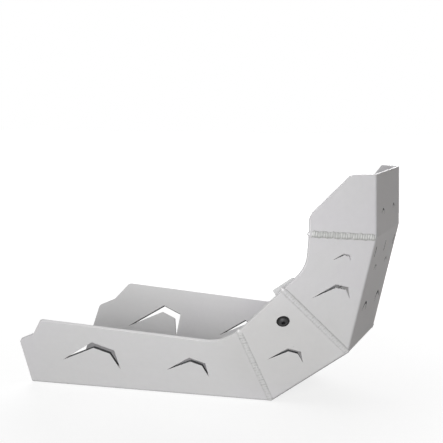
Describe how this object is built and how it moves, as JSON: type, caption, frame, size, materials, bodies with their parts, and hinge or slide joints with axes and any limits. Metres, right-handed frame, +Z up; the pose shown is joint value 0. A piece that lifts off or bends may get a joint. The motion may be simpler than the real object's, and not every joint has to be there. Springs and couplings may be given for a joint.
{
  "type": "motorcycle skid plate",
  "caption": "Folded and welded aluminium skid plate that shields the underside and front of a motorcycle engine, with chevron slits and side brackets.",
  "frame": {"origin": "midway between the two rear fixing holes, on the underside of the flat bottom", "axes": "+X forward along the machine, +Y to the machine's left, +Z up"},
  "size_m": [0.5438, 0.3904, 0.3398],
  "materials": {
    "plate": "satin bead-blasted and anodised",
    "bracket": "satin",
    "screw": "black oxide",
    "nut": "zinc plated"
  },
  "bodies": {
    "root": {"skid_plate": "plate", "side_bracket_right": "bracket", "side_bracket_left": "bracket", "side_screws": "screw", "side_nuts": "nut"}
  },
  "joints": []
}
